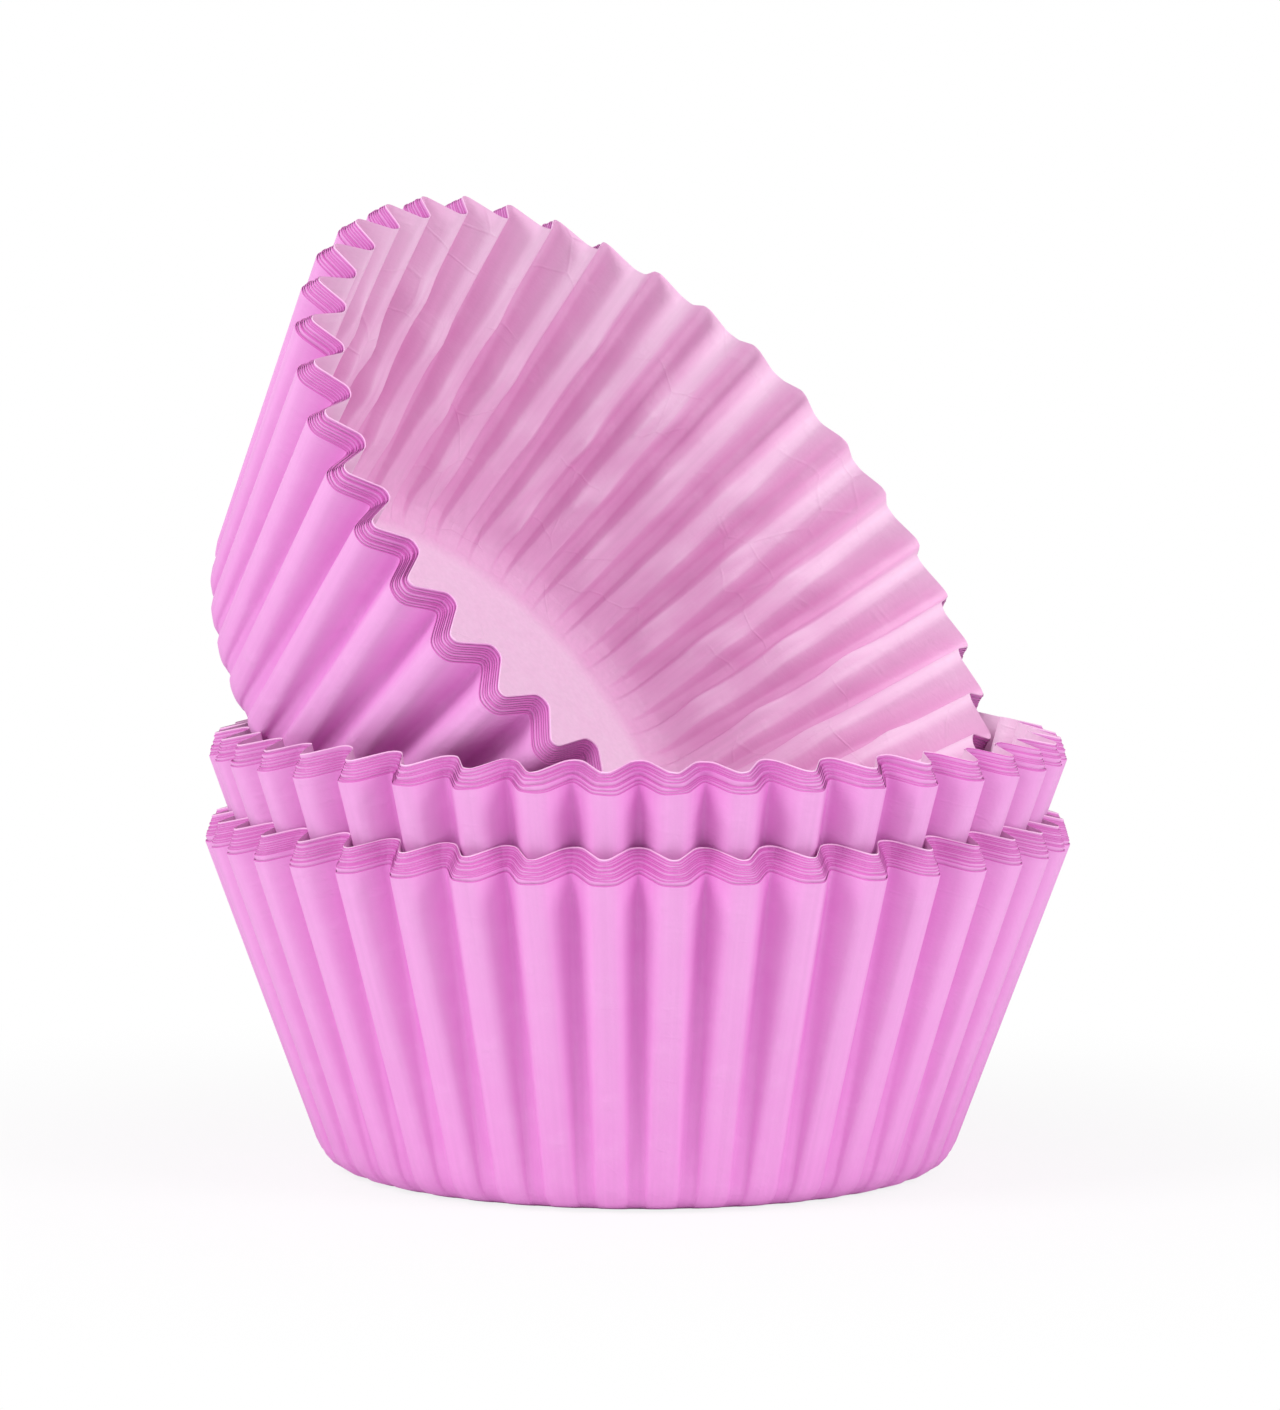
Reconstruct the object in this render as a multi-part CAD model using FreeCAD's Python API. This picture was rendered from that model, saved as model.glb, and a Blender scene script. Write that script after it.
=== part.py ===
import FreeCAD, Part
import bisect
import math
import os

# Stack of pleated paper cupcake liners. Three bundles of nested liners: one stands on the table, the
# next is pushed down into it, and the last leans over inside the mouth of the second one.
# Lengths are in millimetres and angles in degrees. +Z is up and -Y faces the viewer. The origin is the
# middle of the lowest floor, on the table.
SIZES = [
    ("pleat_count", 40, "pleats round each liner"),
    ("base_radius", 25.0, "where the pleat crests would meet the floor with no rounding"),
    ("base_pleat_depth", 0.5, "crest to valley where the wall leaves the floor"),
    ("base_crest_flat", 0.7, "half the flat on a crest there"),
    ("base_crest_bevel", 0.55, "width of the bevel beside that flat"),
    ("corner_run", 2.4, "how far the rounded corner reaches up the wall and in over the floor"),
    ("slant_length", 28.12, "paper from the corner to the cut rim of the outermost liner"),
    ("rim_radius", 34.76, "pleat crests at the rim of the outermost liner"),
    ("rim_pleat_depth", 2.8, "crest to valley at the rim"),
    ("rim_crest_bend", 1.4, "radius of a crest's bend at the rim"),
    ("rim_valley_bend", 0.3, "radius of a valley's bend at the rim"),
    ("paper_thickness", 0.05, "one sheet of greaseproof paper"),
    ("front_stretch", 1.04, "how many times as deep as wide the two upright bundles stand"),
    ("pleat_turn", 4.64, "a crest's bearing in the two upright bundles, from +X"),
    ("bottom_count", 12, "liners in the bottom bundle"),
    ("bottom_pitch", 0.085, "floor to floor in the bottom bundle"),
    ("bottom_drop", 0.2, "how far its outermost liner hangs lower than the rest"),
    ("middle_count", 9, "liners in the middle bundle"),
    ("middle_pitch", 0.11, "floor to floor in the middle bundle"),
    ("middle_spread", -0.26, "how much wider its mouth stands than the bottom bundle's"),
    ("seat_gap", 0.24, "level gap left where the middle bundle wedges in the bottom one"),
    ("top_count", 9, "liners in the leaning bundle"),
    ("top_pitch", 0.11, "floor to floor in the leaning bundle"),
    ("top_spread", 0.62, "how much wider its mouth stands than the bottom bundle's"),
    ("top_lean", 50.64, "its axis from the vertical"),
    ("lean_bearing", 323.78, "the way it leans, from +X toward +Y"),
    ("top_turn", -49.11, "a crest's turn from the downhill line in the leaning bundle"),
    ("top_offset_x", -15.46, "centre of its floor beside the stack's axis"),
    ("top_offset_y", 11.61, "centre of its floor behind the stack's axis"),
    ("rest_gap", 0.15, "level gap left where the leaning bundle touches the middle one"),
]


def make_sheet(document):
    """Spreadsheet with one named driving size in each row."""
    table = document.addObject("Spreadsheet::Sheet", "sizes")
    for row, (name, value, meaning) in enumerate(SIZES, start=1):
        table.set("A%d" % row, name)
        table.set("B%d" % row, str(value))
        table.set("C%d" % row, meaning)
        table.setAlias("B%d" % row, name)
    document.recompute()
    return table


doc = FreeCAD.newDocument("cupcake_liners")
sheet = make_sheet(doc)


def size(name):
    """A driving size, read from the sheet."""
    return float(sheet.get(name))


def spot(middle_bearing, along, outward, height):
    """Point beside the middle line of a pleat, a distance along the tangent and outward from the axis."""
    sine, cosine = math.sin(middle_bearing), math.cos(middle_bearing)
    return FreeCAD.Vector(outward * cosine - along * sine, outward * sine + along * cosine, height)


def meet(start, direction, corner_a, corner_b, corner_c):
    """Point where a line crosses the plane through three corners."""
    normal = (corner_b - corner_a).cross(corner_c - corner_a)
    return start + direction * ((corner_a - start).dot(normal) / direction.dot(normal))


class Bundle:
    """Liners pressed together: each sheet lies a set step inside the one before it.

    Half a pleat in plan is drawn with straight edges: half of the crest's flat, a bevel at half of the
    flank's angle, the flank, and half of the valley's flat. Foot and rim have their edges parallel, so
    every strip of the wall is flat. Each half pleat has 3 corners: crest, shoulder and valley.
    """

    def __init__(self, name, turn, spread=0.0, stretch=1.0, drop=0.0):
        self.name = name
        self.turn = math.radians(turn)
        self.stretch = stretch
        self.drop = drop
        self.count = int(size(name + "_count"))
        self.pitch = size(name + "_pitch")
        self.half_angle = math.pi / size("pleat_count")
        self.set_corners(size("rim_radius") + spread)

    def set_corners(self, rim_radius):
        """Corners of half a pleat at the rim and at the sharp foot, as distances along and outward."""
        crest_bend, valley_bend = size("rim_crest_bend"), size("rim_valley_bend")
        valley_radius = rim_radius - size("rim_pleat_depth")
        half_length = valley_radius * math.tan(self.half_angle)
        past_bends = crest_bend + valley_bend - size("rim_pleat_depth")
        reach = math.hypot(past_bends, half_length)
        flank = math.atan2(half_length, past_bends) - math.acos(min(1.0, (crest_bend + valley_bend) / reach))
        shoulder_reach = crest_bend / math.cos(flank / 4)
        self.rim_corners = [
            (crest_bend * math.tan(flank / 4), rim_radius),
            (
                shoulder_reach * math.sin(flank * 3 / 4),
                rim_radius - crest_bend + shoulder_reach * math.cos(flank * 3 / 4),
            ),
            (half_length - valley_bend * math.tan(flank / 2), valley_radius),
        ]
        crest_half, bevel = size("base_crest_flat"), size("base_crest_bevel")
        shoulder = (
            crest_half + bevel * math.cos(flank / 2),
            size("base_radius") - bevel * math.sin(flank / 2),
        )
        base_valley = size("base_radius") - size("base_pleat_depth")
        valley = (shoulder[0] + (shoulder[1] - base_valley) / math.tan(flank), base_valley)
        self.foot_corners = [(crest_half, size("base_radius")), shoulder, valley]
        self.inward = [
            (-math.tan(flank / 4), -1.0),
            (-math.sin(flank * 3 / 4) / math.cos(flank / 4), -math.cos(flank * 3 / 4) / math.cos(flank / 4)),
            (-math.tan(flank / 2), -1.0),
        ]
        outward = rim_radius - size("base_radius")
        along = self.rim_corners[0][0] - crest_half
        self.rise = math.sqrt(size("slant_length") ** 2 - outward ** 2 - along ** 2)
        slope = (valley_radius - base_valley) / size("slant_length")
        self.inset_share = 1 - slope * math.cos(flank)

    def depth(self, number):
        """Paper and air between the outermost liner's outer face and this one's. Liner 1 is the outermost."""
        return (number - 1) * self.pitch

    def total_depth(self):
        """Paper and air between the outermost liner's outer face and the innermost one's inner face."""
        return self.depth(self.count) + size("paper_thickness")

    def floor_height(self, depth):
        """Height of a floor face over the bundle's base. The outermost liner hangs lower by the drop."""
        if depth < self.pitch:
            return depth
        return depth + self.drop

    def half_pleat_rulings(self, depth):
        """Foot and rim of the 3 straight lines of half a pleat, in the plane along, outward and up."""
        inset = depth * self.inset_share
        base = self.floor_height(depth)
        lines = []
        for (along, outward), rim_corner, inward in zip(self.foot_corners, self.rim_corners, self.inward):
            foot = FreeCAD.Vector(along + inset * inward[0], outward + inset * inward[1], base)
            upward = FreeCAD.Vector(rim_corner[0] - along, rim_corner[1] - outward, self.rise).normalize()
            lines.append((foot, foot + upward * (size("slant_length") + inset)))
        return lines

    def sheet_rulings(self, number):
        """Half a pleat of a liner's outer and inner faces, with the cut rim between them in flat strips."""
        outer = self.half_pleat_rulings(self.depth(number))
        inner = self.half_pleat_rulings(self.depth(number) + size("paper_thickness"))
        for side in (1, 2):
            foot, rim = inner[side]
            cut = meet(foot, rim - foot, outer[side - 1][1], outer[side][1], inner[side - 1][1])
            inner[side] = (foot, cut)
        return outer, inner

    def corner_row(self, lines, depth):
        """Half a pleat of the rounded corner: 3 corners on the wall, one halfway round, one on the floor."""
        run = size("corner_run")
        upper = [foot + (rim - foot).normalize() * run for foot, rim in lines]
        floor_radius = self.foot_corners[2][1] - depth * self.inset_share - run
        quarter = self.half_angle / 2
        floor = FreeCAD.Vector(floor_radius * math.sin(quarter), floor_radius * math.cos(quarter), lines[0][0].z)
        halfway = (upper[0] + lines[0][0] * 2 + floor) * 0.25
        return upper, halfway, floor

    def ring(self, half_pleat_points):
        """Points of half a pleat mirrored and repeated round the axis, in order of bearing."""
        points = []
        for pleat in range(int(size("pleat_count"))):
            middle = self.turn + 2 * self.half_angle * pleat
            mirrored = [(-point.x, point.y, point.z) for point in reversed(half_pleat_points)]
            plain = [(point.x, point.y, point.z) for point in half_pleat_points]
            for along, outward, height in mirrored + plain:
                point = spot(middle, along, outward, height)
                point.y *= self.stretch
                points.append(point)
        return points

    def wall_lines(self, depth):
        """Straight lines of the whole wall, from foot to rim, for a face at this depth."""
        lines = self.half_pleat_rulings(depth)
        return list(zip(self.ring([foot for foot, rim in lines]), self.ring([rim for foot, rim in lines])))

    def skin_points(self):
        """Points on the outside of the bundle, its nested rims included."""
        upper, halfway, floor = self.corner_row(self.half_pleat_rulings(0.0), 0.0)
        points = self.ring(upper) + self.ring([halfway]) + self.ring([floor])
        levels = 14
        for low, high in self.wall_lines(0.0):
            points += [low + (high - low) * (level / levels) for level in range(2, levels + 1)]
        points += [high for low, high in self.wall_lines(self.total_depth())]
        return points


class Mouth:
    """The free inside of an upright bundle that stands at a height."""

    level_step = 0.1

    def __init__(self, bundle, height):
        self.floor = bundle.floor_height(bundle.total_depth())
        self.lines = bundle.wall_lines(bundle.total_depth())
        self.height = height
        self.outlines = {}

    def outline(self, level):
        """Bearings and radii of the inner wall at a level over its base, with the rim's height there."""
        if level not in self.outlines:
            points = []
            for low, high in self.lines:
                share = (level * self.level_step - self.floor) / (high.z - self.floor)
                point = low + (high - low) * max(share, 0.0)
                points.append((math.atan2(point.y, point.x), math.hypot(point.x, point.y), high.z))
            self.outlines[level] = list(zip(*sorted(points)))
        return self.outlines[level]

    def room(self, point):
        """Level distance from a point out to the inner wall. A point under the floor has less than none."""
        height = point.z - self.height
        if height < self.floor:
            return height - self.floor
        bearings, radii, rims = self.outline(round(height / self.level_step))
        bearing = math.atan2(point.y, point.x)
        after = bisect.bisect(bearings, bearing) % len(bearings)
        span = (bearings[after] - bearings[after - 1]) % (2 * math.pi)
        share = ((bearing - bearings[after - 1]) % (2 * math.pi)) / span
        rim = rims[after - 1] + (rims[after] - rims[after - 1]) * share
        if height > rim:
            return math.inf
        return radii[after - 1] + (radii[after] - radii[after - 1]) * share - math.hypot(point.x, point.y)


def lowest_height(free_room, gap, low, high):
    """Lowest height that leaves the gap, found by halving the range."""
    halvings = 14
    for _ in range(halvings):
        middle = (low + high) / 2
        if free_room(middle) < gap:
            low = middle
        else:
            high = middle
    return high


def flat_face(*corners):
    """Flat face with these corners."""
    return Part.Face(Part.makePolygon(list(corners) + [corners[0]]))


def strips(lower, upper):
    """Flat strips between two rings with as many corners, side by side."""
    return [
        flat_face(lower[side - 1], lower[side], upper[side], upper[side - 1]) for side in range(len(lower))
    ]


def corner_faces(wall, halfway):
    """Faces between the wall's 6 corners a pleat and the 2 corners a pleat of the row below it."""
    faces = []
    for side in range(0, len(halfway), 2):
        left_valley, left_shoulder, left_crest, crest, shoulder, valley = wall[3 * side:3 * side + 6]
        left, right = halfway[side], halfway[side + 1]
        next_left = halfway[(side + 2) % len(halfway)]
        next_valley = wall[(3 * side + 6) % len(wall)]
        faces.append(flat_face(left, left_valley, left_shoulder))
        faces.append(flat_face(left, left_shoulder, left_crest))
        faces.append(flat_face(left, left_crest, crest, right))
        faces.append(flat_face(right, crest, shoulder))
        faces.append(flat_face(right, shoulder, valley))
        faces.append(flat_face(right, valley, next_valley, next_left))
    return faces


def liner_shape(bundle, number):
    """One sheet of paper: an outer and an inner face joined along the cut rim."""
    faces = []
    rims = []
    depths = (bundle.depth(number), bundle.depth(number) + size("paper_thickness"))
    for depth, lines in zip(depths, bundle.sheet_rulings(number)):
        upper, halfway, floor = bundle.corner_row(lines, depth)
        rim_ring = bundle.ring([rim for foot, rim in lines])
        wall_ring = bundle.ring(upper)
        halfway_ring = bundle.ring([halfway])
        floor_ring = bundle.ring([floor])
        faces += strips(wall_ring, rim_ring)
        faces += corner_faces(wall_ring, halfway_ring)
        faces += strips(floor_ring, halfway_ring)
        faces.append(flat_face(*floor_ring))
        rims.append(rim_ring)
    faces += strips(*rims)
    shell = Part.makeShell(faces)
    shell.sewShape()
    solid = Part.makeSolid(shell)
    if solid.Volume < 0:
        solid.reverse()
    return solid


def add_bundle(bundle, placement):
    """One document object for each liner of the bundle."""
    for number in range(1, bundle.count + 1):
        liner = doc.addObject("Part::Feature", "%s_liner_%02d" % (bundle.name, number))
        liner.Label = liner.Name
        liner.Shape = liner_shape(bundle, number)
        liner.Placement = placement


def upright(height):
    """Placement of a bundle that stands straight at a height."""
    return FreeCAD.Placement(FreeCAD.Vector(0, 0, height), FreeCAD.Rotation())


def leaning(height):
    """Placement of the leaning bundle with the middle of its floor at a height."""
    bearing = FreeCAD.Rotation(FreeCAD.Vector(0, 0, 1), size("lean_bearing"))
    lean = FreeCAD.Rotation(FreeCAD.Vector(0, 1, 0), size("top_lean"))
    middle = FreeCAD.Vector(size("top_offset_x"), size("top_offset_y"), height)
    return FreeCAD.Placement(middle, bearing.multiply(lean))


# The two upright bundles have their pleats in line, so the middle one slides down until its flanks
# wedge between the flanks of the bottom one. The leaning one comes down until it touches the mouth.
bottom = Bundle("bottom", size("pleat_turn"), stretch=size("front_stretch"), drop=size("bottom_drop"))
middle = Bundle("middle", size("pleat_turn"), size("middle_spread"), size("front_stretch"))
top = Bundle("top", size("top_turn"), spread=size("top_spread"))


def free_room(mouth, points, placement):
    """Least room that the placed points have in a mouth."""
    return min(mouth.room(placement.multVec(point)) for point in points)


bottom_mouth = Mouth(bottom, 0.0)
middle_points = middle.skin_points()
middle_height = lowest_height(
    lambda height: free_room(bottom_mouth, middle_points, upright(height)),
    size("seat_gap"),
    bottom.floor_height(bottom.total_depth()),
    size("slant_length"),
)
middle_mouth = Mouth(middle, middle_height)
top_points = top.skin_points()
top_height = lowest_height(
    lambda height: free_room(middle_mouth, top_points, leaning(height)),
    size("rest_gap"),
    middle_height,
    middle_height + 2 * size("slant_length"),
)
print("middle bundle raised by", round(middle_height, 3), "and leaning bundle's floor at", round(top_height, 3))

add_bundle(bottom, upright(0.0))
add_bundle(middle, upright(middle_height))
add_bundle(top, leaning(top_height))
doc.recompute()

# Every object is checked before any file is written.
liners = [item for item in doc.Objects if item.TypeId == "Part::Feature"]
for item in doc.Objects:
    if "Invalid" in item.State or "Error" in item.State:
        raise RuntimeError("%s failed: %s" % (item.Label, item.State))
for liner in liners:
    if liner.Shape.isNull() or not liner.Shape.isValid() or len(liner.Shape.Solids) != 1:
        raise RuntimeError("%s has no valid solid" % liner.Label)

os.makedirs("parts", exist_ok=True)
for liner in liners:
    liner.Shape.exportStep(os.path.join("parts", liner.Label + ".step"))
print(len(liners), "liners written")
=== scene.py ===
# %% [markdown]
# # A stack of cupcake liners
# Thirty pleated paper baking cups lie nested in three bundles. Two bundles stand upright, one pushed
# down into the other, and the third leans over in the mouth of the second. The lesson draws one sheet
# of pleated paper with numpy, repeats it at a small step inward for each nested liner, gives it the
# finish of dyed greaseproof paper and lights it softly.

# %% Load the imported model
import bpy
import numpy as np
from mathutils import Matrix


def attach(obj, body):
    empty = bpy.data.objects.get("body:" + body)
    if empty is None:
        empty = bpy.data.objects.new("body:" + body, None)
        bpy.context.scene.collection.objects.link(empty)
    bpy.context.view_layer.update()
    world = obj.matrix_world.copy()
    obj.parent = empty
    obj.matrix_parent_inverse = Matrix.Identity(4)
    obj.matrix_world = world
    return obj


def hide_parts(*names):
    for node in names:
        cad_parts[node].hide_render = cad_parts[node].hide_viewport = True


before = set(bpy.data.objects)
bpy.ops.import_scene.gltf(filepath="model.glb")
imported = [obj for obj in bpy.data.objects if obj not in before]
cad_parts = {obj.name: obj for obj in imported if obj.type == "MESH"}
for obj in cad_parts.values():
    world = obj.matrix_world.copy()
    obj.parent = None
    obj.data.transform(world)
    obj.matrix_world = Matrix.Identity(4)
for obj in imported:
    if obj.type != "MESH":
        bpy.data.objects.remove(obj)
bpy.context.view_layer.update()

# %% [markdown]
# The camera comes first, because everything after it is judged through it. It was fitted to the rims,
# the base line and the leaning mouth: it stands 476 mm in front of the stack, 74 mm above the table,
# and looks down by four and a half degrees. A long lens keeps the perspective flat, as in a product photo.

# %% Camera
MM = 0.001


def aim_camera():
    """Camera turned by Rx(90 degrees - pitch) Rz(roll) at its place in front of the stack."""
    pitch, roll = 0.0784, 0.0049
    lens = bpy.data.cameras.new("photo_lens")
    lens.sensor_width = 36.0
    lens.lens = 151.86
    lens.clip_start = 0.01
    camera = bpy.data.objects.new("photo_camera", lens)
    turn = Matrix.Rotation(np.pi / 2 - pitch, 4, "X") @ Matrix.Rotation(roll, 4, "Z")
    camera.matrix_world = Matrix.Translation((0.000125, -0.4763, 0.07446)) @ turn
    bpy.context.scene.collection.objects.link(camera)
    bpy.context.scene.camera = camera
    print("camera at", [round(value, 4) for value in camera.location])


aim_camera()

# %% [markdown]
# A liner is pressed from a flat disc of paper between two ribbed dies. The dies fold the wall into forty
# pleats, deep at the rim and shallow at the base. The sizes below are those of the pressed cup, in
# millimetres. Half a pleat needs only three corners at the foot and three at the rim: crest, shoulder and
# valley. A smooth curve through them gives the round crest and the tight valley.

# %% Sizes of one liner and of the three bundles
PLEATS = 40
BASE_RADIUS = 25.0
BASE_PLEAT_DEPTH = 0.5
BASE_CREST_FLAT = 0.7
BASE_CREST_BEVEL = 0.55
CORNER_RUN = 2.4
SLANT_LENGTH = 28.12
RIM_RADIUS = 34.76
RIM_PLEAT_DEPTH = 2.8
RIM_CREST_BEND = 1.4
RIM_VALLEY_BEND = 0.3
PAPER = 0.05
FRONT_STRETCH = 1.04

BUNDLES = {
    "bottom": {"count": 12, "pitch": 0.085, "turn": 4.64, "spread": 0.0, "stretch": FRONT_STRETCH, "drop": 0.2,
               "straight": (0.1, 0.1)},
    "middle": {"count": 9, "pitch": 0.11, "turn": 4.64, "spread": -0.26, "stretch": FRONT_STRETCH, "drop": 0.0,
               "straight": (0.1, 0.1)},
    "top": {"count": 9, "pitch": 0.11, "turn": -49.11, "spread": 0.62, "stretch": 1.0, "drop": 0.0,
            "straight": (0.05, 0.4)},
}
MIDDLE_HEIGHT = 6.872
LEAN = 50.64
LEAN_BEARING = 323.78
LEANING_FLOOR = (-15.46, 11.61, 33.378)


def half_pleat(spread):
    """Foot and rim corners of half a pleat as (along, outward), the way each moves inward, and the rise.

    The flank's angle follows from the two bends: the crest's and the valley's circles have one common
    tangent. Foot edges are parallel to the rim edges, so each strip of the wall is flat.
    """
    rim_radius = RIM_RADIUS + spread
    valley_radius = rim_radius - RIM_PLEAT_DEPTH
    half_angle = np.pi / PLEATS
    half_length = valley_radius * np.tan(half_angle)
    past_bends = RIM_CREST_BEND + RIM_VALLEY_BEND - RIM_PLEAT_DEPTH
    reach = np.hypot(past_bends, half_length)
    flank = np.arctan2(half_length, past_bends) - np.arccos(min(1.0, (RIM_CREST_BEND + RIM_VALLEY_BEND) / reach))
    shoulder_reach = RIM_CREST_BEND / np.cos(flank / 4)
    rim = np.array([
        (RIM_CREST_BEND * np.tan(flank / 4), rim_radius),
        (shoulder_reach * np.sin(flank * 3 / 4), rim_radius - RIM_CREST_BEND + shoulder_reach * np.cos(flank * 3 / 4)),
        (half_length - RIM_VALLEY_BEND * np.tan(flank / 2), valley_radius),
    ])
    shoulder = np.array([
        BASE_CREST_FLAT + BASE_CREST_BEVEL * np.cos(flank / 2),
        BASE_RADIUS - BASE_CREST_BEVEL * np.sin(flank / 2),
    ])
    base_valley = BASE_RADIUS - BASE_PLEAT_DEPTH
    valley = (shoulder[0] + (shoulder[1] - base_valley) / np.tan(flank), base_valley)
    foot = np.array([(BASE_CREST_FLAT, BASE_RADIUS), shoulder, valley])
    inward = np.array([
        (-np.tan(flank / 4), -1.0),
        (-np.sin(flank * 3 / 4) / np.cos(flank / 4), -np.cos(flank * 3 / 4) / np.cos(flank / 4)),
        (-np.tan(flank / 2), -1.0),
    ])
    rise = np.sqrt(SLANT_LENGTH ** 2 - (rim_radius - BASE_RADIUS) ** 2 - (rim[0, 0] - BASE_CREST_FLAT) ** 2)
    inset_share = 1 - (valley_radius - base_valley) / SLANT_LENGTH * np.cos(flank)
    return foot, rim, inward, rise, inset_share


print("one liner rises", round(float(half_pleat(0.0)[3]), 2), "mm over its base")

# %% [markdown]
# The whole ring of a cup is half a pleat, mirrored and repeated forty times. A closed quadratic B-spline
# through those corners touches the middle of every edge, so it rounds the crests and stays inside the
# straight-edged outline. Two more corners on each flank keep the flank's middle straight, so that only
# the crest and the valley bend. Because a B-spline is a weighted sum of its corners, the foot's ring and
# the rim's ring can be splined once each, and every level between them is a straight mix of the two.

# %% Rings of a pleated wall


def around(half, turn, stretch):
    """Corners (along, outward, height) of half a pleat, mirrored and turned to every pleat's bearing.

    x = outward cos b - along sin b and y = outward sin b + along cos b, with y stretched at the end.
    """
    whole = np.concatenate([half[::-1] * (-1, 1, 1), half])
    bearing = np.radians(turn) + 2 * np.pi / PLEATS * np.arange(PLEATS)[:, None]
    x = whole[:, 1] * np.cos(bearing) - whole[:, 0] * np.sin(bearing)
    y = (whole[:, 1] * np.sin(bearing) + whole[:, 0] * np.cos(bearing)) * stretch
    z = np.broadcast_to(whole[:, 2], x.shape)
    return np.stack([x, y, z], axis=-1).reshape(-1, 3)


def with_flank_corners(line, straight):
    """Adds two corners on the flank: shoulder + (valley - shoulder) times (1 -+ straight) / 2."""
    crest, shoulder, valley = line
    steps = [shoulder + (valley - shoulder) * (1 + sign * straight) / 2 for sign in (-1, 1)]
    return np.stack([crest, shoulder, *steps, valley])


def closed_spline(corners, samples):
    """Closed quadratic B-spline: before (1-t)^2/2 + here (1/2 + t - t^2) + after t^2/2, t in [0, 1)."""
    t = (np.arange(samples) / samples)[None, :, None]
    before, here, after = np.roll(corners, 1, 0), corners, np.roll(corners, -1, 0)
    curve = before[:, None] * (1 - t) ** 2 / 2 + here[:, None] * (0.5 + t - t * t) + after[:, None] * t * t / 2
    return curve.reshape(-1, 3)


def face_rings(bundle, depth, samples):
    """Splined foot ring and rim ring of a face that lies this deep in the bundle, and its floor's radius."""
    foot, rim, inward, rise, share = half_pleat(bundle["spread"])
    inset = depth * share
    base = depth + (bundle["drop"] if depth >= bundle["pitch"] else 0.0)
    start = np.column_stack([foot + inset * inward, np.full(3, base)])
    way = np.column_stack([rim - foot, np.full(3, rise)])
    way /= np.linalg.norm(way, axis=1)[:, None]
    end = start + way * (SLANT_LENGTH + inset)
    rings = [
        closed_spline(around(with_flank_corners(line, bundle["straight"]), bundle["turn"], bundle["stretch"]), samples)
        for line in (start, end)
    ]
    return rings[0], rings[1], foot[2, 1] - inset - CORNER_RUN, SLANT_LENGTH + inset


print("a ring of the finest liners has", 40 * 10 * 3, "points")

# %% [markdown]
# Real liners are never cut and pressed quite alike. Their rims don't end level, so the cut edges of a
# nested bundle make a band of uneven fine lines. Each wave below is a sum of a few sines round the rim
# with seeded phases: it closes on itself, it is smooth, and it gives the same stack every time.

# %% Irregular rims and soft warps


def wave(bearing, counts, seed):
    """Sum of sines of count times bearing with seeded phases, scaled to lie between -1 and 1."""
    phases = np.random.default_rng(seed).uniform(0, 2 * np.pi, len(counts))
    total = sum(np.sin(count * bearing + phase) for count, phase in zip(counts, phases))
    return total / len(counts)


def shortened(bearing, most, seed):
    """How much shorter than the longest a sheet is cut: most times a wave shifted to lie above nothing."""
    return most * (0.5 + 0.5 * wave(bearing, (1, 2, 5, 9, 17, 29), seed))


def warp(points, seed):
    """Moves points sideways by smooth waves that grow with height, so nested sheets keep their order.

    radius + 0.09 g w1 and bearing + 0.004 g w2, where g rises evenly from 0 at the table to 1 at the rim.
    """
    x, y, z = points[..., 0], points[..., 1], points[..., 2]
    bearing, radius = np.arctan2(y, x), np.hypot(x, y)
    growth = z / 27.0
    radius = radius + 0.09 * growth * wave(bearing, (3, 5, 13, 27, 33), seed)
    bearing = bearing + 0.004 * growth * wave(bearing, (7, 11, 19, 26), seed + 1)
    return np.stack([radius * np.cos(bearing), radius * np.sin(bearing), z], axis=-1)


print("rims differ by up to", 0.3, "mm in the bottom bundle")

# %% [markdown]
# A face of a liner is one grid of points: rows run from the rim down the wall, round the corner and in
# over the floor, and columns run round the cup. A sheet of paper is two such grids, joined along the cut
# rim, so it is a closed skin with a real thickness of 0.05 mm. The grid keeps two more things for the
# finish: where a point lies on the sheet, and whether it is on a crest or in a valley, which sets the
# painted shade in the folds.

# %% One face of a liner


def face_grid(bundle, depth, samples, wall_rows, corner_rows, floor_rows, cut):
    """Grid of points of one face, with each point's distance up the sheet in millimetres.

    wall: foot + (rim - foot) q / length, for q from the cut rim down to the corner
    corner: quadratic Bezier curve from the wall by way of the sharp foot to the floor
    floor: level rings that shrink towards the middle
    """
    foot, rim, floor_radius, length = face_rings(bundle, depth, samples)
    bearing = np.arctan2(foot[:, 1], foot[:, 0])
    top = length - cut(bearing)
    share = np.linspace(0, 1, wall_rows)[:, None] ** 1.15
    height = top + (CORNER_RUN - top) * share
    wall = foot + (rim - foot) * (height / length)[..., None]
    plain = np.arctan2(foot[:, 1] / bundle["stretch"], foot[:, 0])
    edge = np.column_stack([np.cos(plain), np.sin(plain) * bundle["stretch"]]) * floor_radius
    edge = np.column_stack([edge, foot[:, 2]])
    t = np.linspace(0, 1, corner_rows + 1)[1:, None, None]
    corner = wall[-1] * (1 - t) ** 2 + foot * 2 * t * (1 - t) + edge * t * t
    shrink = np.linspace(1, 0.12, floor_rows + 1)[1:, None, None]
    floor = edge * np.array([1, 1, 0]) * shrink + np.array([0, 0, 1]) * edge
    points = np.concatenate([wall, corner, floor])
    below = CORNER_RUN * (1 - 2 * t[:, :, 0]) + 0 * bearing
    inner = -CORNER_RUN - floor_radius * (1 - shrink[:, :, 0]) + 0 * bearing
    return points, np.concatenate([height, below, inner])


print("rows of a face: cut rim, wall, corner, floor")

# %% [markdown]
# The innermost liner of the leaning bundle shows its whole inside. Pressing and handling have pushed its
# folds a little to and fro, so the dark grooves between them run in slow waves partway down the wall.
# Each wave is a row of shallow dents, set by turns on one side and on the other side of a groove. A dent
# only moves the paper inward, into free air, so the liner never cuts the one behind it.

# %% Kinks in the open cup


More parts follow.
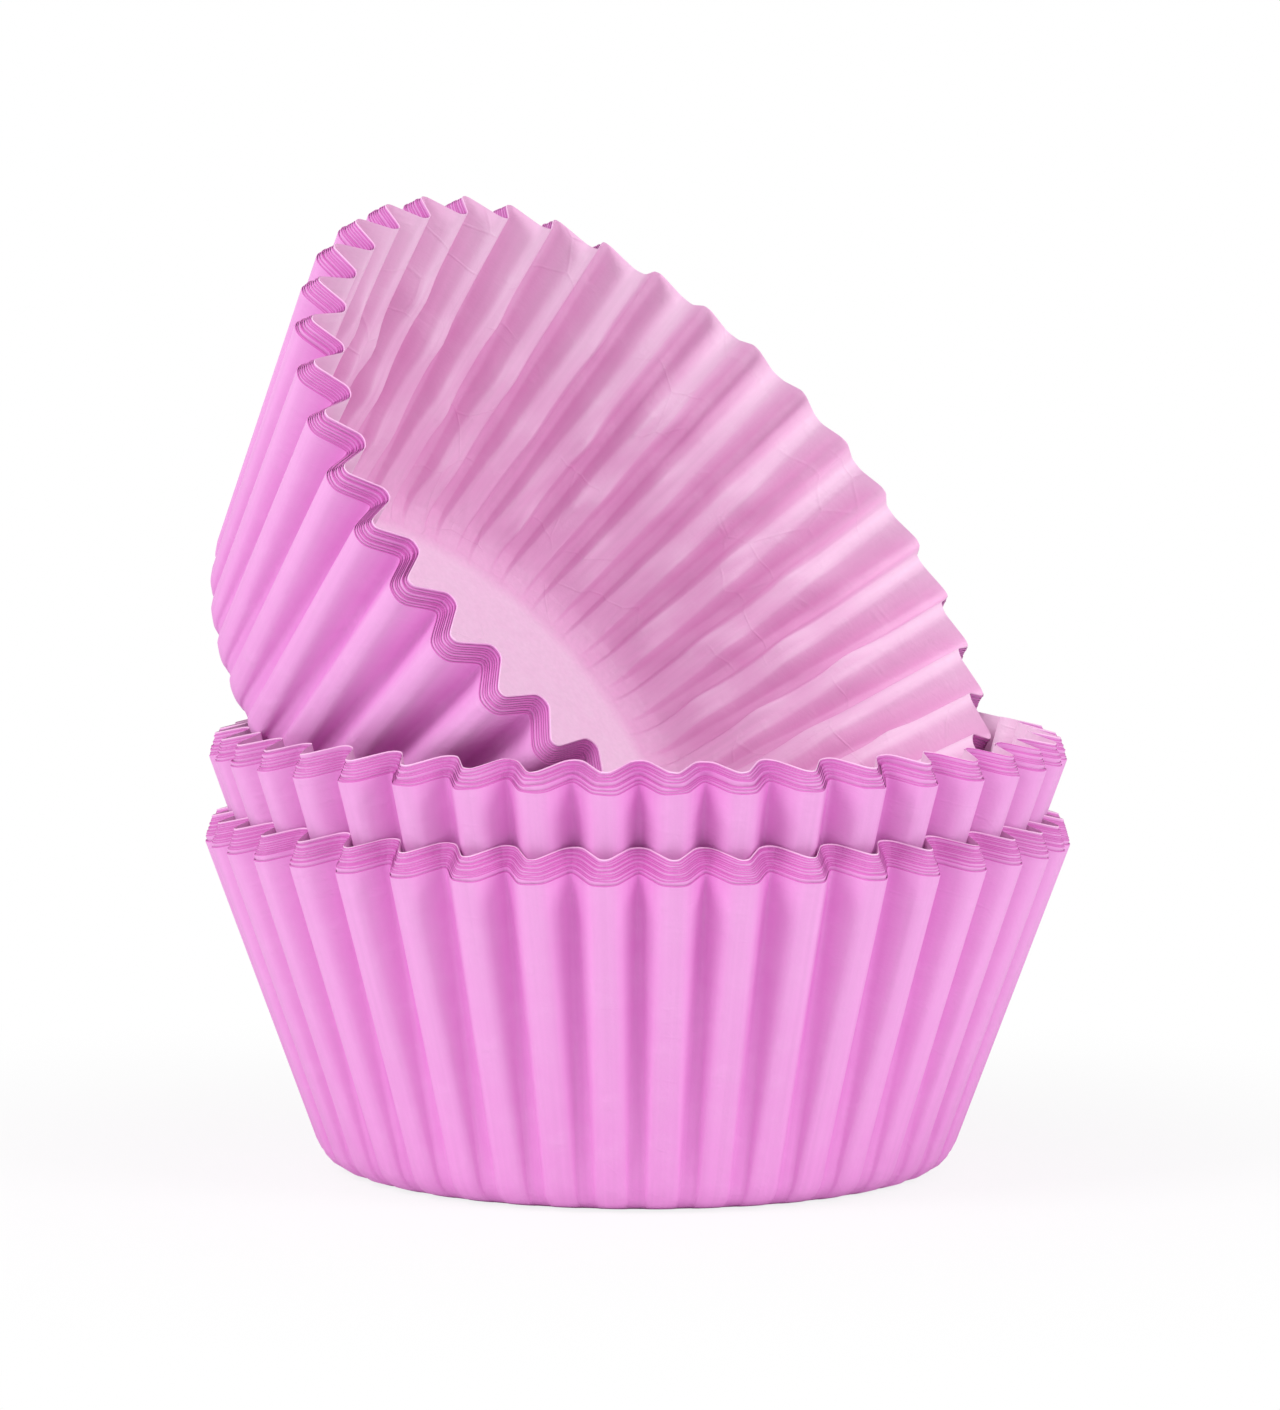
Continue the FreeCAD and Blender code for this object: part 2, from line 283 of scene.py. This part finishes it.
def kinked(points, up, turn, depth, seed):
    """Moves points towards the cup's axis by depth times the sum of dents exp(-across^2 - along^2).

    Each pleat has four dents, 4.6 mm apart along the sheet and 0.26 of a pleat to one side, then the other.
    """
    chance = np.random.default_rng(seed)
    bearing = np.arctan2(points[..., 1], points[..., 0])
    radius = np.hypot(points[..., 0], points[..., 1])
    inward = np.zeros_like(radius)
    for pleat in range(PLEATS):
        first, size = chance.uniform(4.5, 7.5), chance.uniform(0.35, 1.0)
        for step in range(4):
            side = 0.26 * (-1) ** (step + pleat) + chance.uniform(-0.06, 0.06)
            middle = np.radians(turn) + 2 * np.pi / PLEATS * (pleat + side)
            across = (np.mod(bearing - middle + np.pi, 2 * np.pi) - np.pi) * 30.0 / 0.9
            along = (up - first - 4.6 * step) / chance.uniform(1.5, 2.3)
            inward += depth * size * np.exp(-across ** 2 - along ** 2)
    factor = 1 - inward / np.maximum(radius, 1.0)
    return points * np.stack([factor, factor, np.ones_like(factor)], axis=-1)


print("each groove of the open cup gets 4 kinks")

# %% [markdown]
# From points to an object: the numbers go to Blender in one call each, as a learner should do with any
# big mesh. Every liner stands for one CAD node and rides on the stack's only body.

# %% Mesh of a liner
OUTSIDE, INSIDE, EDGE = 0, 1, 2


def quads(rows, columns, first, flip):
    """Corner numbers of a grid that closes on itself round the cup, and of the fan over its middle.

    A flipped grid still starts each face at the same corner, so both faces of the paper split along the
    same diagonals and can't cross in a dent.
    """
    number = first + np.arange(rows * columns).reshape(rows, columns)
    right = np.roll(number, -1, axis=1)
    faces = np.stack([number[:-1], number[1:], right[1:], right[:-1]], axis=-1).reshape(-1, 4)
    middle = np.full(columns, first + rows * columns)
    fan = np.stack([number[-1], middle, right[-1]], axis=-1)
    if flip:
        return faces[:, [0, 3, 2, 1]], fan[:, ::-1]
    return faces, fan


def liner_object(name, faces_points, faces_up, place, materials):
    """Closed mesh from the outer and the inner grid, in metres, with its finish's attributes."""
    rows, columns = faces_points[0].shape[:2]
    per_face = rows * columns + 1
    points, up, fold = [], [], []
    for grid, height in zip(faces_points, faces_up):
        points += [grid.reshape(-1, 3), grid[-1].mean(axis=0)[None]]
        up += [height.ravel(), height[-1:, 0]]
        # The fold share runs from 0 in a valley to 1 on a crest, and towards a half where the pleat is shallow. The
        # paper's colour uses it to paint shade into the folds.
        radius = np.hypot(grid[..., 0], grid[..., 1]).reshape(rows, PLEATS, -1)
        low, high = radius.min(axis=2, keepdims=True), radius.max(axis=2, keepdims=True)
        share = ((radius - low) / np.maximum(high - low, 0.3)) ** 0.6
        share = 0.5 + (share - 0.5) * np.minimum(1, (high - low) / 2.0)
        fold += [share.ravel(), np.zeros(1)]
    points, up, fold = np.concatenate(points), np.concatenate(up), np.concatenate(fold)
    bearing = np.arctan2(points[:, 1], points[:, 0])
    outer, outer_fan = quads(rows, columns, 0, False)
    inner, inner_fan = quads(rows, columns, per_face, True)
    ring = np.arange(columns)
    cut = np.stack([ring, np.roll(ring, -1), per_face + np.roll(ring, -1), per_face + ring], axis=-1)
    mesh = bpy.data.meshes.new(name)
    four = np.concatenate([outer, inner, cut])
    three = np.concatenate([outer_fan, inner_fan])
    corners = np.concatenate([four.ravel(), three.ravel()]).astype(np.int32)
    sizes = np.concatenate([np.full(len(four), 4), np.full(len(three), 3)]).astype(np.int32)
    mesh.vertices.add(len(points))
    mesh.vertices.foreach_set("co", (place(points) * MM).astype(np.float32).ravel())
    mesh.loops.add(len(corners))
    mesh.loops.foreach_set("vertex_index", corners)
    mesh.polygons.add(len(sizes))
    mesh.polygons.foreach_set("loop_start", np.concatenate([[0], np.cumsum(sizes)[:-1]]).astype(np.int32))
    kinds = [len(outer) * [OUTSIDE], len(inner) * [INSIDE], len(cut) * [EDGE]]
    kinds += [len(outer_fan) * [OUTSIDE], len(inner_fan) * [INSIDE]]
    kinds = np.concatenate([np.array(kind, np.int32) for kind in kinds])
    mesh.polygons.foreach_set("material_index", kinds)
    mesh.polygons.foreach_set("use_smooth", kinds != EDGE)
    spread = 30 * np.minimum(1, np.hypot(points[:, 0], points[:, 1]) / BASE_RADIUS)
    on_sheet = np.column_stack([spread * np.cos(bearing), spread * np.sin(bearing), up]).astype(np.float32)
    mesh.attributes.new("on_sheet", "FLOAT_VECTOR", "POINT").data.foreach_set("vector", on_sheet.ravel())
    mesh.attributes.new("fold", "FLOAT", "POINT").data.foreach_set("value", fold.astype(np.float32))
    rim_edges = np.concatenate([four[len(outer) + len(inner):, :2], four[len(outer) + len(inner):, 2:]])
    mesh.update(calc_edges=True)
    mesh.validate()
    sharp_edges(mesh, rim_edges)
    for material in materials:
        mesh.materials.append(material)
    liner = bpy.data.objects.new(name, mesh)
    bpy.context.scene.collection.objects.link(liner)
    return liner


def sharp_edges(mesh, pairs):
    """Marks the edges between these pairs of points as sharp, so the cut rim keeps a crisp edge."""
    ends = np.empty(len(mesh.edges) * 2, np.int32)
    mesh.edges.foreach_get("vertices", ends)
    ends = np.sort(ends.reshape(-1, 2), axis=1).astype(np.int64)
    pairs = np.sort(pairs, axis=1).astype(np.int64)
    most = len(mesh.vertices)
    sharp = np.isin(ends[:, 0] * most + ends[:, 1], pairs[:, 0] * most + pairs[:, 1])
    mesh.attributes.new("sharp_edge", "BOOLEAN", "EDGE").data.foreach_set("value", sharp)


print("mesh helpers ready")

# %% [markdown]
# The finish is dyed greaseproof paper: wood pulp beaten until it is nearly free of pores, dyed orchid
# pink through, and calendered to a faint waxy sheen. The eye gets from it a soft matt colour with a
# weak broad highlight, cloudy mottling from the fibres, and fine streaks along the pleats where the dies
# dragged. Painted shade and light go into the colour too: a darker colour in the folds that lie in shade,
# and a paler one on the floor and near the rim on the inside. The colours are sRGB hex values. Pattern
# scales are worked out from millimetres.

# %% Paper materials


def linear(hex_colour):
    """sRGB hex colour as linear RGBA: c/12.92 below 0.04045, else ((c + 0.055) / 1.055) ** 2.4."""
    values = np.array([int(hex_colour[i:i + 2], 16) / 255 for i in (1, 3, 5)])
    values = np.where(values <= 0.04045, values / 12.92, ((values + 0.055) / 1.055) ** 2.4)
    return (*values.tolist(), 1.0)


def node(tree, kind, settings=None, values=None, links=None):
    """Adds a node with its settings, the values typed into its sockets and the links that feed it."""
    made = tree.nodes.new(kind)
    for name, value in (settings or {}).items():
        setattr(made, name, value)
    for name, value in (values or {}).items():
        made.inputs[name].default_value = value
    for name, source in (links or {}).items():
        tree.links.new(source, made.inputs[name])
    return made


def greaseproof(name, crest, valley, pale, relief, creasing, rim=0.0):
    """Dyed greaseproof paper: one colour on crests, one in valleys, a pale one in its clouds and on the floor.

    The darker of the crest and valley colours is painted shade in the folds: in the valleys seen from
    outside, and on the crests seen from inside, where they are the grooves. The floor, and the wall near the
    rim by as much as rim gives, are painted lighter towards the pale colour as painted light.
    """
    material = bpy.data.materials.new(name)
    material.use_nodes = True
    tree = material.node_tree
    tree.nodes.clear()
    sheet = node(tree, "ShaderNodeAttribute", {"attribute_name": "on_sheet"}).outputs["Vector"]
    fold = node(tree, "ShaderNodeAttribute", {"attribute_name": "fold"}).outputs["Fac"]
    # Clouds of fibre are about 2.2 mm across in thin paper held to the light.
    clouds = node(tree, "ShaderNodeTexNoise", {}, {"Scale": 1 / 2.2, "Detail": 3.0}, {"Vector": sheet})
    # Fibres are 0.03 mm thick, too fine to show, so they are drawn 0.22 mm wide.
    fibres = node(tree, "ShaderNodeTexNoise", {}, {"Scale": 1 / 0.22, "Detail": 2.0}, {"Vector": sheet})
    # Die marks run up the pleats: 0.5 mm wide and about 25 mm long.
    long_way = node(
        tree, "ShaderNodeVectorMath", {"operation": "MULTIPLY"}, {1: (1 / 0.5, 1 / 0.5, 1 / 25)}, {0: sheet}
    )
    streaks = node(
        tree, "ShaderNodeTexNoise", {}, {"Scale": 1.0, "Detail": 2.0}, {"Vector": long_way.outputs["Vector"]}
    )
    # Creases from handling run crooked over the sheet, 6 mm apart, and are 0.15 mm wide.
    cells = node(
        tree, "ShaderNodeTexVoronoi", {"feature": "DISTANCE_TO_EDGE"}, {"Scale": 1 / 6.0}, {"Vector": sheet}
    )
    creases = node(
        tree, "ShaderNodeMapRange", {}, {"From Max": 0.02, "To Min": creasing, "To Max": 0.0},
        {"Value": cells.outputs["Distance"]},
    )
    # Only one patch in four has such creases. A patch is about 9 mm across.
    patches = node(tree, "ShaderNodeTexNoise", {}, {"Scale": 1 / 9.0, "Detail": 0.0}, {"Vector": sheet})
    creased = node(
        tree, "ShaderNodeMapRange", {}, {"From Min": 0.54, "From Max": 0.6}, {"Value": patches.outputs["Fac"]}
    )
    creases = node(
        tree, "ShaderNodeMath", {"operation": "MULTIPLY"}, {},
        {0: creases.outputs["Result"], 1: creased.outputs["Result"]},
    )
    # Small crimps lie across the pleats, 0.5 mm apart and 3 mm long, in a few places only.
    cross_way = node(
        tree, "ShaderNodeVectorMath", {"operation": "MULTIPLY"}, {1: (1 / 3, 1 / 3, 1 / 0.5)}, {0: sheet}
    )
    crimps = node(
        tree, "ShaderNodeTexNoise", {}, {"Scale": 1.0, "Detail": 1.0}, {"Vector": cross_way.outputs["Vector"]}
    )
    places = node(
        tree, "ShaderNodeMapRange", {}, {"From Min": 0.52, "From Max": 0.68}, {"Value": clouds.outputs["Fac"]}
    )
    # Painted shade: the colour runs from the valley colour to the crest colour across each fold, so the folds that lie
    # in shade get the darker one.
    painted_fold_shade = node(
        tree, "ShaderNodeMix", {"data_type": "RGBA"}, {6: linear(valley), 7: linear(crest)}, {0: fold}
    )
    cloudy = node(
        tree, "ShaderNodeMapRange", {}, {"From Min": 0.35, "From Max": 0.75, "To Max": 0.14},
        {"Value": clouds.outputs["Fac"]},
    )
    up_sheet = node(tree, "ShaderNodeSeparateXYZ", {}, {}, {"Vector": sheet})
    # Painted light: the floor, and the wall near the rim by as much as rim gives, are mixed towards the pale colour,
    # together with the real fibre clouds.
    painted_floor_light = node(
        tree, "ShaderNodeMapRange", {}, {"From Min": -1.0, "From Max": -2.6, "To Max": 0.6},
        {"Value": up_sheet.outputs["Z"]},
    )
    painted_rim_light = node(
        tree, "ShaderNodeMapRange", {}, {"From Min": 14.0, "From Max": 28.0, "To Max": rim},
        {"Value": up_sheet.outputs["Z"]},
    )
    painted_light_on_floor_and_rim = node(
        tree, "ShaderNodeMath", {"operation": "ADD"}, {},
        {0: painted_rim_light.outputs["Result"], 1: painted_floor_light.outputs["Result"]},
    )
    mottle_and_painted_light = node(
        tree, "ShaderNodeMath", {"operation": "ADD", "use_clamp": True}, {},
        {0: cloudy.outputs["Result"], 1: painted_light_on_floor_and_rim.outputs[0]},
    )
    mottled_and_painted_light = node(
        tree, "ShaderNodeMix", {"data_type": "RGBA"}, {7: linear(pale)},
        {0: mottle_and_painted_light.outputs[0], 6: painted_fold_shade.outputs[2]},
    )
    lines = node(
        tree, "ShaderNodeMapRange", {}, {"From Min": 0.3, "From Max": 0.7, "To Min": 0.97, "To Max": 1.02},
        {"Value": streaks.outputs["Fac"]},
    )
    shaded = node(
        tree, "ShaderNodeVectorMath", {"operation": "SCALE"}, {},
        {0: mottled_and_painted_light.outputs[2], "Scale": lines.outputs["Result"]},
    )
    fine = node(
        tree, "ShaderNodeMath", {"operation": "MULTIPLY"}, {1: 0.35}, {0: fibres.outputs["Fac"]}
    )
    crimped = node(
        tree, "ShaderNodeMath", {"operation": "MULTIPLY"}, {},
        {0: crimps.outputs["Fac"], 1: places.outputs["Result"]},
    )
    marks = node(
        tree, "ShaderNodeMath", {"operation": "MULTIPLY_ADD"}, {1: 0.4}, {0: streaks.outputs["Fac"], 2: fine.outputs[0]}
    )
    worn = node(
        tree, "ShaderNodeMath", {"operation": "ADD"}, {}, {0: crimped.outputs[0], 1: creases.outputs[0]}
    )
    height = node(tree, "ShaderNodeMath", {"operation": "ADD"}, {}, {0: marks.outputs[0], 1: worn.outputs[0]})
    bump = node(
        tree, "ShaderNodeBump", {}, {"Strength": 1.0, "Distance": relief * MM}, {"Height": height.outputs[0]}
    )
    gloss = node(
        tree, "ShaderNodeMapRange", {}, {"To Min": 0.46, "To Max": 0.62}, {"Value": clouds.outputs["Fac"]}
    )
    shader = node(
        tree, "ShaderNodeBsdfPrincipled", {}, {"IOR": 1.47, "Specular IOR Level": 0.18},
        {"Base Color": shaded.outputs[0], "Roughness": gloss.outputs["Result"], "Normal": bump.outputs["Normal"]},
    )
    node(tree, "ShaderNodeOutputMaterial", {}, {}, {"Surface": shader.outputs[0]})
    return material


# Outside: the deeper valley colour is painted shade in the folds.
outside = greaseproof("orchid_greaseproof_paper_outside", "#F1A9E5", "#E588D6", "#F6C2EE", 0.05, 0.2)
# Inside: the darker crest colour is painted shade in the grooves, and the last value paints light on the wall near the
# rim.
inside = greaseproof("orchid_greaseproof_paper_inside", "#E8A4D4", "#F6CEEB", "#F8E3F3", 0.05, 0.5, 0.35)
# A cut edge shows the ends of the fibres. The pressed edges are painted deep: partly the dyed edge of the paper, partly
# painted shade over the band of rims. The free innermost one looks pale.
cut_edge_in_painted_shade = greaseproof("cut_rim_of_greaseproof_paper_in_painted_shade", "#DA74C4", "#CB60B4", "#EA98D8", 0.02, 0.0)
fresh_edge = greaseproof("free_edge_of_greaseproof_paper_with_painted_shade", "#F6C6EA", "#F2BAE4", "#FBDCF3", 0.02, 0.0)
print("papers:", outside.name, inside.name, cut_edge_in_painted_shade.name, fresh_edge.name)

# %% [markdown]
# Now the three bundles. Only the outermost and the innermost liner of a bundle show their walls, so they
# get fine grids; the ones between them show no more than their cut rims, and a few rows are enough.
# A bundle that leans is turned by its lean about Y, then to its bearing about Z, and moved to its place.

# %% Build the bundles


def upright(height):
    """Lifts points by a height and gives them the warp that both upright bundles share."""
    return lambda points: warp(points + (0.0, 0.0, height), 11)


def leaning(points):
    """Warps the cup as it would stand, then turns it: Rz(bearing) Ry(lean) p + floor."""
    lean, bearing = np.radians(LEAN), np.radians(LEAN_BEARING)
    about_y = np.array([[np.cos(lean), 0, np.sin(lean)], [0, 1, 0], [-np.sin(lean), 0, np.cos(lean)]])
    about_z = np.array([[np.cos(bearing), -np.sin(bearing), 0], [np.sin(bearing), np.cos(bearing), 0], [0, 0, 1]])
    return warp(points, 23) @ (about_z @ about_y).T + np.array(LEANING_FLOOR)


def build_bundle(name, place, unevenness, seed):
    """Every liner of a bundle: the same two faces, each liner one pitch further in."""
    total = 0
    for number in range(1, BUNDLES[name]["count"] + 1):
        bundle = dict(BUNDLES[name])
        bundle["straight"] = np.interp(number, (1, bundle["count"]), bundle["straight"])
        fine = number in (1, bundle["count"])
        samples, wall, corner, floor = (3, 12, 5, 2) if fine else (2, 3, 2, 0)
        open_cup = name == "top" and number == bundle["count"]
        if open_cup:
            wall = 30
        grids, heights = [], []
        for depth in ((number - 1) * bundle["pitch"], (number - 1) * bundle["pitch"] + PAPER):
            points, up = face_grid(
                bundle, depth, samples, wall, corner, floor,
                lambda bearing: shortened(bearing, unevenness, seed + number),
            )
            if open_cup:
                points = kinked(points, up, bundle["turn"], 0.8, 5)
            grids.append(points)
            heights.append(up)
        node_name = "%s_liner_%02d" % (name, number)
        edge = fresh_edge if number == bundle["count"] else cut_edge_in_painted_shade
        liner = liner_object("paper_" + node_name, grids, heights, place, (outside, inside, edge))
        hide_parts(node_name)
        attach(liner, "root")
        liner.data.calc_loop_triangles()
        total += len(liner.data.loop_triangles)
    print(name, "bundle:", bundle["count"], "liners,", total, "triangles")


build_bundle("bottom", upright(0.0), 0.3, 100)
build_bundle("middle", upright(MIDDLE_HEIGHT), 0.5, 200)
build_bundle("top", leaning, 0.35, 300)

# %% [markdown]
# The stage is a plain pale floor under an even white world, as in a product photo on a sweep. The floor
# glows white for the camera, fully from 100 mm out and in part beside the stack, so it fades into the
# white and still keeps the stack's soft shadow.

# %% Floor, world and lights


def pale_floor():
    """Square floor, 6 m wide, a hair under the lowest liner."""
    side, level = 3.0, -0.00003
    mesh = bpy.data.meshes.new("studio_floor")
    mesh.from_pydata([(-side, -side, level), (side, -side, level), (side, side, level), (-side, side, level)], [], [(0, 1, 2, 3)])
    floor = bpy.data.objects.new("studio_floor", mesh)
    bpy.context.scene.collection.objects.link(floor)
    material = bpy.data.materials.new("white_sweep_board")
    material.use_nodes = True
    tree = material.node_tree
    tree.nodes.clear()
    matt = node(tree, "ShaderNodeBsdfDiffuse", {}, {"Color": linear("#F4F2F4")})
    glow = node(tree, "ShaderNodeEmission", {}, {"Color": (1, 1, 1, 1), "Strength": 1.0})
    path = node(tree, "ShaderNodeLightPath")
    place = node(tree, "ShaderNodeTexCoord").outputs["Object"]
    far = node(tree, "ShaderNodeVectorMath", {"operation": "LENGTH"}, {}, {0: place}).outputs["Value"]
    share = node(
        tree, "ShaderNodeMapRange", {"interpolation_type": "SMOOTHSTEP"},
        {"From Min": 0.03, "From Max": 0.1, "To Min": 0.84, "To Max": 1.0}, {"Value": far},
    )
    seen = node(
        tree, "ShaderNodeMath", {"operation": "MULTIPLY"}, {},
        {0: path.outputs["Is Camera Ray"], 1: share.outputs["Result"]},
    )
    mixed = node(tree, "ShaderNodeMixShader", {}, {}, {0: seen.outputs[0], 1: matt.outputs[0], 2: glow.outputs[0]})
    node(tree, "ShaderNodeOutputMaterial", {}, {}, {"Surface": mixed.outputs[0]})
    mesh.materials.append(material)


def white_world(strength):
    """World that lights evenly, and is plain white for the camera and for reflections."""
    world = bpy.data.worlds.new("soft_white_room")
    bpy.context.scene.world = world
    world.use_nodes = True
    tree = world.node_tree
    tree.nodes.clear()
    path = node(tree, "ShaderNodeLightPath")
    seen = node(
        tree, "ShaderNodeMath", {"operation": "MAXIMUM"}, {},
        {0: path.outputs["Is Camera Ray"], 1: path.outputs["Is Glossy Ray"]},
    )
    level = node(
        tree, "ShaderNodeMapRange", {}, {"To Min": strength, "To Max": 1.0}, {"Value": seen.outputs[0]}
    )
    light = node(tree, "ShaderNodeBackground", {}, {"Color": (1, 1, 1, 1)}, {"Strength": level.outputs["Result"]})
    node(tree, "ShaderNodeOutputWorld", {}, {}, {"Surface": light.outputs[0]})


def soft_box(name, place, width, power):
    """Square area light that faces the middle of the stack."""
    lamp = bpy.data.lights.new(name, "AREA")
    lamp.shape = "SQUARE"
    lamp.size = width
    lamp.energy = power
    holder = bpy.data.objects.new(name, lamp)
    away = np.array(place) - np.array((0.0, 0.0, 0.04))
    holder.matrix_world = Matrix.Translation(place) @ facing(away)
    bpy.context.scene.collection.objects.link(holder)


def facing(away):
    """Turn that makes a lamp's own +Z point away from its target, so the lamp shines at it."""
    z = away / np.linalg.norm(away)
    x = np.cross((0.0, 0.0, 1.0), z)
    x /= np.linalg.norm(x)
    y = np.cross(z, x)
    return Matrix(np.column_stack([x, y, z]).tolist()).to_4x4()


pale_floor()
white_world(0.53)
soft_box("left_soft_box", (-0.46, -0.38, 0.48), 0.3, 2.6)
soft_box("right_soft_box", (0.52, -0.38, 0.42), 0.3, 2.2)
bpy.context.scene.view_settings.view_transform = "Standard"
print("stage and lights ready")
